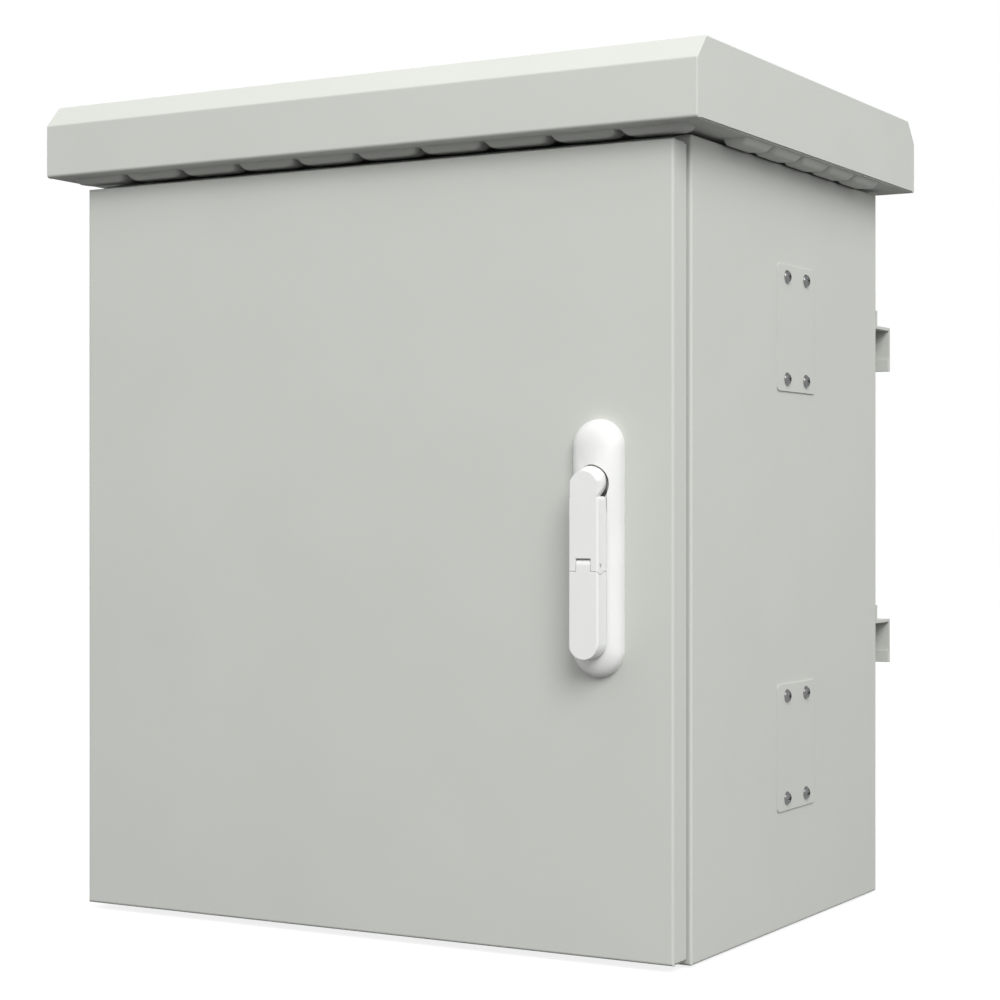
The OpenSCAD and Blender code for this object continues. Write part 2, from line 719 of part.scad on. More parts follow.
// Cross-section of the lever with rounded front edges, x against distance from the door.
module lever_section() {
    translate([-lever_x, lever_p0]) square([lever_w, lever_p - lever_p0 - lever_edge]);
    translate([lever_edge - lever_x, lever_p0]) square([lever_w - 2 * lever_edge, lever_p - lever_p0]);
    for (s = [-1, 1]) translate([s * (lever_x - lever_edge), lever_p - lever_edge]) circle(lever_edge);
}

// Front outline of the lever's lower end: straight sides from the given height down to a round foot.
module lever_foot_outline(half, top) {
    translate([-half, foot_z]) square([2 * half, top - foot_z]);
    translate([0, foot_z]) circle(half);
}

// Lever: grip, leaning round head over the rotor ears, tongue on the tilt pin and core for the lock cylinder.
module handle_lever() color("white") on_handle() difference() {
    union() {
        intersection() {
            along_z(flap_z - 9, lever_shoulder) lever_section();
            along_y(0, 40) rounded(-lever_x, lever_x, flap_z - 30, lever_shoulder, shoulder_r);
            union() {
                box(-20, 20, 0, 40, flap_z - 4.5, 0);
                rod_x(-20, 20, flap_p, flap_z, cheek_r);
            }
        }
        intersection() {
            along_z(lever_shoulder - 4, 20) polygon([[-lever_x, lever_p0], [-lever_x, lever_p0 + 5],
                [head_side - lever_x, lever_p], [lever_x - head_side, lever_p], [lever_x, lever_p0 + 5],
                [lever_x, lever_p0]]);
            translate([0, lever_p, head_top - lever_x / cos(head_lean)]) rotate([-90 - head_lean, 0, 0])
                cylinder(h = 80, r = lever_x, center = true);
            union() {
                rod_y(0, 0, 40, 0, well_r - head_gap);
                box(-lever_x, lever_x, 0, 40, -20, 0);
            }
        }
        rod_x(-6.6, 6.6, tilt_p, 0, 4.7);
        box(-6.6, 6.6, tilt_p, lever_p0 + 1, -4.7, 4.7);
        along_y(lever_p0, core_p) lever_foot_outline(core_x, flap_z - 3);
    }
    rod_x(-7, 7, tilt_p, 0, tilt_r + run);
    for (x = [-11.4, 6.6]) rod_x(x, x + 4.8, tilt_p, 0, 5.4);
    rod_x(-20, 20, flap_p, flap_z, flap_pin_r);
    rod_x(-tab_x - play, tab_x + play, flap_p, flap_z, 5.5);
    box(-tab_x - play, tab_x + play, flap_p, lever_p + 1, flap_z - 2, flap_z + 5.5);
    box(-tab_x - play, tab_x + play, flap_p - 3, lever_p + 1, flap_z - 11, flap_z);
    rod_y(0, lever_p0 - 1, lever_p + 1, cylinder_z, cylinder_r + run);
}

module lock_cylinder() color("silver") on_handle() difference() {
    rod_y(0, lever_p0, core_p, cylinder_z, cylinder_r);
    box(-0.9, 0.9, core_p - 5, core_p + 1, cylinder_z - 4.5, cylinder_z + 4.5);
}

module flap_pin() color("silver") on_handle()
    rod_x(0.2 - lever_x, lever_x - 0.2, flap_p, flap_z, flap_pin_r);

// Cover over the lock cylinder, hinged on a tab at its upper edge.
module cylinder_flap() color("white") on_handle() difference() {
    union() {
        difference() {
            intersection() {
                along_z(lever_foot, flap_z - 4.9) lever_section();
                along_y(lever_p0, lever_p) lever_foot_outline(lever_x, 0);
            }
            along_y(0, lever_p - flap_wall) lever_foot_outline(lever_x - flap_wall, 0);
            rod_x(-20, 20, flap_p, flap_z, cheek_r + play);
        }
        rod_x(-tab_x, tab_x, flap_p, flap_z, 5.1);
        box(-tab_x, tab_x, flap_p - 2, lever_p, flap_z - 10, flap_z);
    }
    rod_x(-7, 7, flap_p, flap_z, flap_pin_r + run);
}

// Outline of a lock rod above the swivel with the fork for its cam pin.
module rod_outline(tip) {
    difference() {
        union() {
            translate([rod_x0, 2]) square([rod_x1 - rod_x0, tip - 2]);
            translate([rod_x0, cam_pin - 9]) square([16, 18]);
        }
        translate([0, cam_pin - cam_pin_r - 0.6]) square([cam_pin * sqrt(2), 2 * cam_pin_r + 1.2]);
        translate([cam_pin * sqrt(2), cam_pin]) circle(cam_pin_r + 0.6);
    }
}

module lock_rod_upper() color("silver") on_handle()
    along_y(rod_p0, rod_p1) rod_outline(rod_top);

module lock_rod_lower() color("silver") on_handle()
    along_y(rod_p0, rod_p1) rotate(180) rod_outline(-rod_foot);

module rod_guide(x, z) difference() {
    box(x - 9, x + 9, rod_p0 - 3, -sheet, z - 6, z + 6);
    box(x - 6 - play, x + 6 + play, rod_p0 - play, rod_p1 + play, z - 7, z + 7);
}

// Guides on the door skin for the two lock rods.
module rod_guides() color("silver") on_handle() {
    for (z = guide_up) rod_guide((rod_x0 + rod_x1) / 2, z);
    for (z = guide_down) rod_guide(-(rod_x0 + rod_x1) / 2, z);
}

body_shell();
frame_stiles();
frame_bars();
hood();
soffit();
hood_spacers();
hood_bolts();
hood_nuts();
gland_plate();
gland_gasket();
gland_nuts();
cable_grommets();
pole_rail_upper();
pole_rail_lower();
pole_rail_bolts();
pole_rail_nuts();
side_plate_right_upper();
side_plate_right_lower();
side_plate_left_upper();
side_plate_left_lower();
plate_screws();
plate_nuts();
carrier_right_upper();
carrier_right_lower();
carrier_left_upper();
carrier_left_lower();
rack_rail_front_right();
rack_rail_front_left();
rack_rail_rear_right();
rack_rail_rear_left();
rack_bolts();
rack_nuts();
earth_stud();
earth_nut();
hinge_arms();
hinge_pins();
door_panel();
door_gasket();
hinge_leaves();
door_stiffener();
handle_base();
handle_gasket();
handle_screws();
rod_guides();
handle_rotor();
lock_cam();
cam_screw();
lever_pin();
handle_lever();
lock_cylinder();
flap_pin();
cylinder_flap();
lock_rod_upper();
lock_rod_lower();
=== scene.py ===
"""Pole-mounted rack cabinet: finishes, rounded sheet skins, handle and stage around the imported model."""

import json
import math

import bmesh
import bpy
import numpy as np
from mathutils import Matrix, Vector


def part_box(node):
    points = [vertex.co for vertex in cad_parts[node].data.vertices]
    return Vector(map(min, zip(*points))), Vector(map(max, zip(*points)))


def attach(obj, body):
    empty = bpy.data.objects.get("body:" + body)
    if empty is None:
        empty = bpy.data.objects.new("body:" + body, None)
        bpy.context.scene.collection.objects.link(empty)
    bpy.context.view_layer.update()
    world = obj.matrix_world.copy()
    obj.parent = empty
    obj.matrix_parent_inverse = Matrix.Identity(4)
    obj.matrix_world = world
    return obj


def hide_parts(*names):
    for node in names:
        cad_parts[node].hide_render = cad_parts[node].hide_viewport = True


bl_info = {
    "name": "Pole-Mounted Rack Cabinet",
    "version": (1, 0, 0),
    "blender": (4, 5, 0),
    "location": "View3D > Sidebar > Cabinet",
    "description": "Dresses the packed rack cabinet with painted skins, fasteners and a studio stage",
    "category": "Object",
}

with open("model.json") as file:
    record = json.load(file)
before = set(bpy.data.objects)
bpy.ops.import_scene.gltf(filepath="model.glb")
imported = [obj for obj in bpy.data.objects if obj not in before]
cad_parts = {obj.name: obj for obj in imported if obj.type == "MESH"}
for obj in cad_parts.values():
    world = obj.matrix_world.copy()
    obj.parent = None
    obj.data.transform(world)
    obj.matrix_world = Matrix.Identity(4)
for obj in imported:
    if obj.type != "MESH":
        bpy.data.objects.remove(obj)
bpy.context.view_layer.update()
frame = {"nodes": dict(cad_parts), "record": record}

BODY_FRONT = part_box("hinge_arms")[1].y
BODY_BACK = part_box("body_shell")[1].y
BODY_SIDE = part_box("body_shell")[1].x
CHAMFER_RUN, CHAMFER_Z = 0.017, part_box("hood")[1].z - 0.0195
FACE_UP, FACE_IN = 1.0, -1.0
LOUVRE_END, LOUVRE_FLANK = 0.009, 0.007
SHARP_EDGE = math.radians(38.0)
DOOR_LOW, DOOR_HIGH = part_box("door_panel")
HOOD_LOW, HOOD_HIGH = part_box("hood")
SLOTS = {row["node"]: row["material_slot"] for row in frame["record"]["subparts"]}


class CabinetFinish(bpy.types.PropertyGroup):
    """Colours of the painted, plated and rubber parts."""

    paint: bpy.props.FloatVectorProperty(
        name="Paint", description="Light grey powder coat of the sheet parts",
        subtype="COLOR", size=3, min=0.0, max=1.0, default=(0.592, 0.605, 0.568))
    handle: bpy.props.FloatVectorProperty(
        name="Handle", description="Satin near-white paint of the handle",
        subtype="COLOR", size=3, min=0.0, max=1.0, default=(0.81, 0.815, 0.80))
    zinc: bpy.props.FloatVectorProperty(
        name="Zinc", description="Zinc plating of fasteners and inner fittings",
        subtype="COLOR", size=3, min=0.0, max=1.0, default=(0.56, 0.565, 0.57))
    # Screw head colour: the polished metal is real, but its dark base colour is painted shade standing in for
    # dark reflections that the white surround does not give.
    screw: bpy.props.FloatVectorProperty(
        name="Screw", description="Dark polished heads of the plate screws",
        subtype="COLOR", size=3, min=0.0, max=1.0, default=(0.165, 0.165, 0.165))
    rubber: bpy.props.FloatVectorProperty(
        name="Rubber", description="Gaskets and grommets",
        subtype="COLOR", size=3, min=0.0, max=1.0, default=(0.022, 0.022, 0.024))
    peel: bpy.props.FloatProperty(
        name="Texture", description="Strength of the fine powder-coat texture",
        min=0.0, max=1.0, default=0.10)


class CabinetSize(bpy.types.PropertyGroup):
    """Sizes of the pieces that are formed here, in metres."""

    sheet: bpy.props.FloatProperty(
        name="Sheet", description="Sheet thickness", unit="LENGTH", default=0.0015)
    louvre_length: bpy.props.FloatProperty(
        name="Louvre length", description="Length of one louvre", unit="LENGTH", default=0.0575)
    louvre_width: bpy.props.FloatProperty(
        name="Louvre width", description="Width of one louvre", unit="LENGTH", default=0.020)
    louvre_depth: bpy.props.FloatProperty(
        name="Louvre depth", description="Depth of one louvre", unit="LENGTH", default=0.006)
    louvre_pitch: bpy.props.FloatProperty(
        name="Louvre pitch", description="Distance from louvre to louvre", unit="LENGTH", default=0.0625)
    well_radius: bpy.props.FloatProperty(
        name="Well radius", description="Radius of the well round the handle head",
        unit="LENGTH", default=0.0153)
    well_floor: bpy.props.FloatProperty(
        name="Well floor", description="Height of the well floor over the door", unit="LENGTH", default=0.005)
    grip_rise: bpy.props.FloatProperty(
        name="Grip rise", description="Height of the base under the lever", unit="LENGTH", default=0.0142)
    head_rise: bpy.props.FloatProperty(
        name="Head rise", description="Height of the base round the head", unit="LENGTH", default=0.0178)
    soffit_lip: bpy.props.FloatProperty(
        name="Soffit lip", description="Width of the lip bent under the fascia", unit="LENGTH", default=0.006)
    hood_bend: bpy.props.FloatProperty(
        name="Gable edge", description="Radius of the gable edges", unit="LENGTH", default=0.0012)
    roof_bend: bpy.props.FloatProperty(
        name="Roof bend", description="Radius of the bends along the roof", unit="LENGTH", default=0.003)
    screw_radius: bpy.props.FloatProperty(
        name="Screw head", description="Radius of a pan head", unit="LENGTH", default=0.006)
    screw_height: bpy.props.FloatProperty(
        name="Screw height", description="Height of a pan head", unit="LENGTH", default=0.0034)
    screw_span: bpy.props.FloatProperty(
        name="Screw span", description="Distance between the screw columns", unit="LENGTH", default=0.0429)
    screw_rise: bpy.props.FloatProperty(
        name="Screw rise", description="Distance between the screw rows", unit="LENGTH", default=0.0892)
    shank: bpy.props.FloatProperty(
        name="Shank", description="Length of a screw behind its head", unit="LENGTH", default=0.0115)


class CabinetStage(bpy.types.PropertyGroup):
    """Camera and light of the studio."""

    camera_place: bpy.props.FloatVectorProperty(
        name="Camera", description="Camera position measured from the middle of the body front",
        subtype="TRANSLATION", unit="LENGTH", size=3, default=(1.0726, -1.6507, 0.3669))
    camera_turn: bpy.props.FloatProperty(
        name="Turn", description="Turn of the camera about the upright axis",
        subtype="ANGLE", default=math.radians(29.9))
    lens: bpy.props.FloatProperty(
        name="Lens", description="Focal length on a 36 mm sensor", min=10.0, default=81.86)
    shift_y: bpy.props.FloatProperty(
        name="Shift", description="Upright shift of the picture", default=0.007)
    key: bpy.props.FloatProperty(
        name="Key", description="Power of the large lamp at the front right",
        subtype="POWER", unit="POWER", min=0.0, default=240.0)
    side: bpy.props.FloatProperty(
        name="Side", description="Power of the lamp at the right",
        subtype="POWER", unit="POWER", min=0.0, default=4.5)
    top: bpy.props.FloatProperty(
        name="Top", description="Power of the lamp above",
        subtype="POWER", unit="POWER", min=0.0, default=4.0)
    ambient: bpy.props.FloatProperty(
        name="Ambient", description="Strength of the even light from all round",
        min=0.0, default=0.865)


def shader(name, colour, rough, metal=0.0):
    """A material with a Principled shader, returned with its node tree pieces."""
    material = bpy.data.materials.new(name)
    material.use_nodes = True
    nodes = material.node_tree.nodes
    principled = nodes["Principled BSDF"]
    principled.inputs["Base Color"].default_value = (*colour, 1.0)
    principled.inputs["Roughness"].default_value = rough
    principled.inputs["Metallic"].default_value = metal
    return material, nodes, material.node_tree.links, principled


def object_noise(nodes, links, scale, detail):
    """Noise on Object coordinates."""
    place = nodes.new("ShaderNodeTexCoord")
    noise = nodes.new("ShaderNodeTexNoise")
    noise.inputs["Scale"].default_value = scale
    noise.inputs["Detail"].default_value = detail
    links.new(place.outputs["Object"], noise.inputs["Vector"])
    return noise


def tint(nodes, links, noise, principled, colour, spread):
    """Colour that drifts by the given share as the noise does."""
    ramp = nodes.new("ShaderNodeValToRGB")
    low, high = ramp.color_ramp.elements
    low.position, high.position = 0.3, 0.7
    low.color = (*(c * (1.0 - spread) for c in colour), 1.0)
    high.color = (*(min(1.0, c * (1.0 + spread)) for c in colour), 1.0)
    links.new(noise.outputs["Fac"], ramp.inputs["Fac"])
    links.new(ramp.outputs["Color"], principled.inputs["Base Color"])


def bump(nodes, links, noise, principled, strength, depth, edge=None):
    """Relief from the noise, over edges rounded by the given radius."""
    relief = nodes.new("ShaderNodeBump")
    relief.inputs["Strength"].default_value = strength
    relief.inputs["Distance"].default_value = depth
    links.new(noise.outputs["Fac"], relief.inputs["Height"])
    if edge:
        rounding = nodes.new("ShaderNodeBevel")
        rounding.samples = 4
        rounding.inputs["Radius"].default_value = edge
        links.new(rounding.outputs["Normal"], relief.inputs["Normal"])
    links.new(relief.outputs["Normal"], principled.inputs["Normal"])


def powder_coat(finish):
    """Light grey powder coat: faint drift of tone and a fine even relief."""
    material, nodes, links, principled = shader("powder_coat", finish.paint, 0.7)
    principled.inputs["Specular IOR Level"].default_value = 0.08
    tint(nodes, links, object_noise(nodes, links, 9.0, 2.0), principled, finish.paint, 0.012)
    bump(nodes, links, object_noise(nodes, links, 900.0, 2.0), principled, finish.peel, 0.0004, 0.0007)
    return material


def handle_paint(finish):
    """Satin near-white paint with a slight gloss."""
    material, nodes, links, principled = shader("handle_white", finish.handle, 0.3)
    tint(nodes, links, object_noise(nodes, links, 30.0, 2.0), principled, finish.handle, 0.01)
    bump(nodes, links, object_noise(nodes, links, 1400.0, 2.0), principled, 0.04, 0.0003, 0.0009)
    return material


def zinc_plating(finish):
    """Zinc plating: metal with a cloudy roughness."""
    material, nodes, links, principled = shader("zinc_plated", finish.zinc, 0.4, 1.0)
    cloud = object_noise(nodes, links, 60.0, 4.0)
    tint(nodes, links, cloud, principled, finish.zinc, 0.05)
    span = nodes.new("ShaderNodeMapRange")
    span.inputs["To Min"].default_value = 0.38
    span.inputs["To Max"].default_value = 0.5
    links.new(cloud.outputs["Fac"], span.inputs["Value"])
    links.new(span.outputs["Result"], principled.inputs["Roughness"])
    return material


def polished_screw_painted_reflection(finish):
    """Polished plating of the screw heads, with its base colour darkened as painted shade in the reflections,
    and a faint drift of tone.
    """
    material, nodes, links, principled = shader("polished_screw_painted_reflection", finish.screw, 0.27, 1.0)
    tint(nodes, links, object_noise(nodes, links, 200.0, 2.0), principled, finish.screw, 0.06)
    return material


def black_rubber(finish):
    """Matt black rubber and foam with fine pores."""
    material, nodes, links, principled = shader("black_rubber", finish.rubber, 0.75)
    pores = object_noise(nodes, links, 700.0, 3.0)
    tint(nodes, links, pores, principled, finish.rubber, 0.3)
    bump(nodes, links, pores, principled, 0.25, 0.0004)
    return material


MAKERS = {
    "powder_coat": powder_coat,
    "handle_white": handle_paint,
    "zinc_plated": zinc_plating,
    "polished_screw_painted_reflection": polished_screw_painted_reflection,
    "black_rubber": black_rubber,
}


def finish_of(slot):
    """The material of a slot or a finish, made on first use."""
    found = bpy.data.materials.get(slot + "_finish")
    if found is None:
        found = MAKERS[slot](bpy.context.scene.cabinet_finish)
        found.name = slot + "_finish"
    return found


class CABINET_OT_finishes(bpy.types.Operator):
    """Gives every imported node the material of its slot."""

    bl_idname = "cabinet.finishes"
    bl_label = "Finishes"

    def execute(self, context):
        for name, node in frame["nodes"].items():
            node.data.materials.clear()
            node.data.materials.append(finish_of(SLOTS[name]))
        return {"FINISHED"}


def surface_piece(name, points, faces, slot, body, nodes, soft=False, finish=None):
    """A mesh from an array of points and lists of faces, merged at its poles, riding on its body, with
    smooth shading between its sharp edges when soft, and a finish of its own where one is named."""
    mesh = bpy.data.meshes.new(name)
    mesh.from_pydata(points.reshape(-1, 3).tolist(), [], faces)
    solid = bmesh.new()
    solid.from_mesh(mesh)
    bmesh.ops.remove_doubles(solid, verts=solid.verts, dist=2e-6)
    bmesh.ops.recalc_face_normals(solid, faces=solid.faces)
    solid.to_mesh(mesh)
    solid.free()
    if soft:
        mesh.shade_smooth()
        mesh.set_sharp_from_angle(angle=SHARP_EDGE)
    mesh.materials.append(finish_of(finish or slot))
    piece = bpy.data.objects.new(name, mesh)
    bpy.context.collection.objects.link(piece)
    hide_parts(*nodes)
    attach(piece, body)
    return piece


def grid_faces(rows, columns, first=0, around=False):
    """Quads between neighbouring points of a grid, closed round its columns when asked."""
    index = np.arange(rows * columns).reshape(rows, columns) + first
    if around:
        index = np.concatenate([index, index[:, :1]], axis=1)
    return np.stack(
        [index[:-1, :-1], index[:-1, 1:], index[1:, 1:], index[1:, :-1]], axis=-1).reshape(-1, 4)


def smooth(value, low, high):
    """Smooth step from 0 at low to 1 at high."""
    t = np.clip((value - low) / (high - low), 0.0, 1.0)
    return t * t * (3.0 - 2.0 * t)


def thicken(piece, depth, offset):
    """Gives an open skin its sheet thickness."""
    wall = piece.modifiers.new("sheet", "SOLIDIFY")
    wall.thickness = depth
    wall.offset = offset
    wall.use_even_offset = True


def louvre_drop(along, across, size):
    """Depth of a pressed louvre: full in the middle, rounded at both ends and on the outer flank,
    and cut off sharply at the inner flank where its slot is."""
    reach = np.clip((np.abs(along) - size.louvre_length / 2) / LOUVRE_END + 1.0, 0.0, 1.0)
    ends = np.maximum(1.0 - reach**2, 0.0)
    outer = smooth(across, -size.louvre_width / 2, -size.louvre_width / 2 + LOUVRE_FLANK)
    inner = (across < size.louvre_width / 2 - 2e-5).astype(float)
    crown = 1.0 - 0.12 * (across / size.louvre_width + 0.5) ** 2
    return size.louvre_depth * np.sqrt(ends) * np.sqrt(outer) * inner * crown


def louvre_lines(centres, offsets):
    """Grid lines at the given offsets from each centre."""
    return (np.asarray(centres)[:, None] + np.asarray(offsets)[None, :]).ravel()


class CABINET_OT_soffit(bpy.types.Operator):
    """Soffit sheet: height over a grid of x and y, lowered by the louvres of the four rows."""

    bl_idname = "cabinet.soffit"
    bl_label = "Soffit"

    def execute(self, context):
        size = context.scene.cabinet_size
        edge = np.array([
            HOOD_HIGH.x - size.sheet, HOOD_LOW.y + size.soffit_lip, HOOD_HIGH.y - size.soffit_lip])
        half, width = size.louvre_length / 2, size.louvre_width / 2
        front_row = np.arange(-4.5, 5.0) * size.louvre_pitch
        side_row = (BODY_FRONT + BODY_BACK) / 2 + np.arange(-2.0, 3.0) * size.louvre_pitch
        row_y = ((BODY_FRONT + HOOD_LOW.y) / 2, (BODY_BACK + HOOD_HIGH.y) / 2)
        row_x = (BODY_SIDE + HOOD_HIGH.x) / 2
        bend = half - np.array([0.0, 0.0002, 0.0007, 0.0015, 0.0026, 0.004, 0.0055, 0.0072, LOUVRE_END])
        along = np.concatenate([-bend, [0.0], bend[::-1]])
        rise = -width + np.array([0.0, 0.0002, 0.0006, 0.0014, 0.0025, 0.004, 0.0055, LOUVRE_FLANK])
        across = np.concatenate([rise, [0.0, width / 2, width - 3e-5, width]])
        x = np.unique(np.concatenate([
            [-edge[0], edge[0]], louvre_lines(front_row, along), -row_x + across, row_x - across]))
        y = np.unique(np.concatenate([
            edge[1:], louvre_lines(side_row, along), row_y[0] + across, row_y[1] - across]))
        px, py = np.meshgrid(x, y, indexing="ij")
        near_x = px - front_row[np.abs(px[..., None] - front_row).argmin(-1)]
        near_y = py - side_row[np.abs(py[..., None] - side_row).argmin(-1)]
        back = louvre_drop(near_x, row_y[1] - py, size) * (np.abs(px) < 4 * size.louvre_pitch)
        drop = np.maximum.reduce([
            louvre_drop(near_x, py - row_y[0], size), back,
            louvre_drop(near_y, px + row_x, size), louvre_drop(near_y, row_x - px, size)])
        points = np.stack([px, py, HOOD_LOW.z - size.sheet + 1e-4 - drop], axis=-1)
        quads = grid_faces(len(x), len(y))
        depth = drop.reshape(-1)[quads]
        corner = points.reshape(-1, 3)[quads]
        span = corner.max(1) - corner.min(1)
        slot = (np.ptp(depth, axis=1) > 0.002) & (span[:, :2].min(1) < 5e-5)
        piece = surface_piece(
            "soffit_louvres", points, quads[~slot].tolist(), "powder_coat", "cabinet", ["soffit"])
        thicken(piece, size.sheet * 0.9, FACE_UP)
        return {"FINISHED"}


class CABINET_OT_handle_base(bpy.types.Operator):
    """Handle base: a domed stadium whose height falls off as a superellipse of the distance from its
    middle line, raised round the right of the swivel head as a smooth step of the angle about its axis,
    and cut by the head's well and the lever's channel."""

    bl_idname = "cabinet.handle_base"
    bl_label = "Handle base"

    def execute(self, context):
        size = context.scene.cabinet_size
        low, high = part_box("handle_base")
        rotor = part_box("handle_rotor")
        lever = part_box("handle_lever")
        axis_x, axis_z = (rotor[0].x + rotor[1].x) / 2, (rotor[0].z + rotor[1].z) / 2
        half = (high.x - low.x) / 2
        foot, top = low.z - axis_z, high.z - axis_z
        well = size.well_radius
        wall = lever[1].x - axis_x + 0.0004
        u = np.unique(np.concatenate([
            half * np.sin(np.linspace(-np.pi / 2, np.pi / 2, 111)), [wall, wall - 2e-5]]))
        ends = half * (1.0 - np.cos(np.linspace(0.0, np.pi / 2, 40)))
        z = np.unique(np.concatenate([
            foot + ends, top - ends, np.arange(foot + half, -0.05, 0.0025), np.arange(-0.05, -0.02, 0.001),
            np.arange(-0.02, top - half + 0.002, 0.0004)]))
        z = z[(z >= foot) & (z <= top)]
        gu, gz = np.meshgrid(u, z, indexing="ij")
        beyond = np.maximum(np.maximum(foot + half - gz, gz - (top - half)), 0.0)
        across = np.sqrt(np.maximum(half**2 - beyond**2, 0.0)) / half
        gx = gu * across
        reach = np.hypot(gx, gz)
        ring = np.abs(reach - well) < 0.00024
        scale = np.where(ring, well / np.maximum(reach, 1e-6), 1.0)
        gx, gz = gx * scale, gz * scale
        beyond = np.maximum(np.maximum(foot + half - gz, gz - (top - half)), 0.0)
        rho = np.clip(np.hypot(gx, beyond) / half, 0.0, 1.0)
        turn = np.arctan2(gz, gx)
        turn = np.where(turn < -np.pi / 2, turn + 2 * np.pi, turn)
        fan = 1.0 - smooth(turn, 1.05, 2.12)
        crest = fan * smooth(gz, -0.05, 0.002) * (1.0 - smooth(gz, 0.012, top))
        ridge = size.grip_rise + (size.head_rise - size.grip_rise) * crest
        rise = ridge * (1.0 - rho**2.6) ** (1.0 / 2.6)
        inside = np.hypot(gx, gz) < well - 1e-6
        channel = (gx < wall - 1e-5) & (gz < 1e-6)
        rise = np.where(channel, np.minimum(rise, size.grip_rise), rise)
        rise = np.where(inside, size.well_floor, rise)
        back = DOOR_LOW.y
        points = np.stack([axis_x + gx, back - rise, axis_z + gz], axis=-1)
        quads = grid_faces(len(u), len(z))
        edge = np.concatenate([
            np.arange(len(z)), (len(u) - 1) * len(z) + np.arange(len(z))[::-1]])
        surface_piece(
            "handle_base_dome", points, quads.tolist() + [edge.tolist()], "handle_white", "door",
            ["handle_base"], soft=True)
        return {"FINISHED"}


def roof_outline(size, inset):
    """Outline of the hood across its depth, open below between two lips: corner centres plus the
    normals' arcs."""
    radius, foot = size.roof_bend, HOOD_LOW.z - size.sheet
    corners = np.array([
        [HOOD_LOW.y + size.soffit_lip, foot], [HOOD_LOW.y, foot], [HOOD_LOW.y, CHAMFER_Z],
        [HOOD_LOW.y + CHAMFER_RUN, HOOD_HIGH.z], [HOOD_HIGH.y - CHAMFER_RUN, HOOD_HIGH.z],
        [HOOD_HIGH.y, CHAMFER_Z], [HOOD_HIGH.y, foot], [HOOD_HIGH.y - size.soffit_lip, foot]])
    edge = np.diff(corners, axis=0)
    normal = np.stack([-edge[:, 1], edge[:, 0]], axis=1) / np.linalg.norm(edge, axis=1)[:, None]
    offset = (normal * corners[:-1]).sum(1)
    pairs = np.stack([normal[:-1], normal[1:]], axis=1)
    reach = np.stack([offset[:-1], offset[1:]], axis=1) - radius
    centres = np.linalg.solve(pairs, reach[..., None])[..., 0]
    angle = np.arctan2(normal[:, 1], normal[:, 0])
    sweep = angle[:-1, None] + (np.unwrap(angle)[1:] - np.unwrap(angle)[:-1])[:, None] * np.linspace(0, 1, 9)
    arcs = centres[:, None, :] + (radius - inset) * np.stack([np.cos(sweep), np.sin(sweep)], axis=-1)
    feet = corners[[0, -1]] + np.array([0.0, inset])
    return np.concatenate([feet[:1], arcs.reshape(-1, 2), feet[1:]])


class CABINET_OT_hood(bpy.types.Operator):
    """Hood skin: the roof outline carried from gable to gable, with rounded gable edges."""

    bl_idname = "cabinet.hood"
    bl_label = "Hood"

    def execute(self, context):
        size = context.scene.cabinet_size
        bend = size.hood_bend
        turn = np.linspace(0.0, np.pi / 2, 7)
        inset = bend * (1.0 - np.sin(turn))
        place = HOOD_HIGH.x - bend * (1.0 - np.cos(turn))
        inset = np.concatenate([inset, inset[::-1]])
        place = np.concatenate([-place, place[::-1]])
        rows = np.stack([roof_outline(size, step) for step in inset])
        points = np.concatenate([np.broadcast_to(place[:, None, None], (*rows.shape[:2], 1)), rows], axis=-1)
        count = rows.shape[1]
        last = points.shape[0] * count
        gables = [list(range(count)), list(range(last - count, last))[::-1]]
        quads = grid_faces(points.shape[0], count)
        piece = surface_piece(
            "hood_skin", points, quads.tolist() + gables, "powder_coat", "cabinet", ["hood"])
        thicken(piece, size.sheet, FACE_IN)
        return {"FINISHED"}


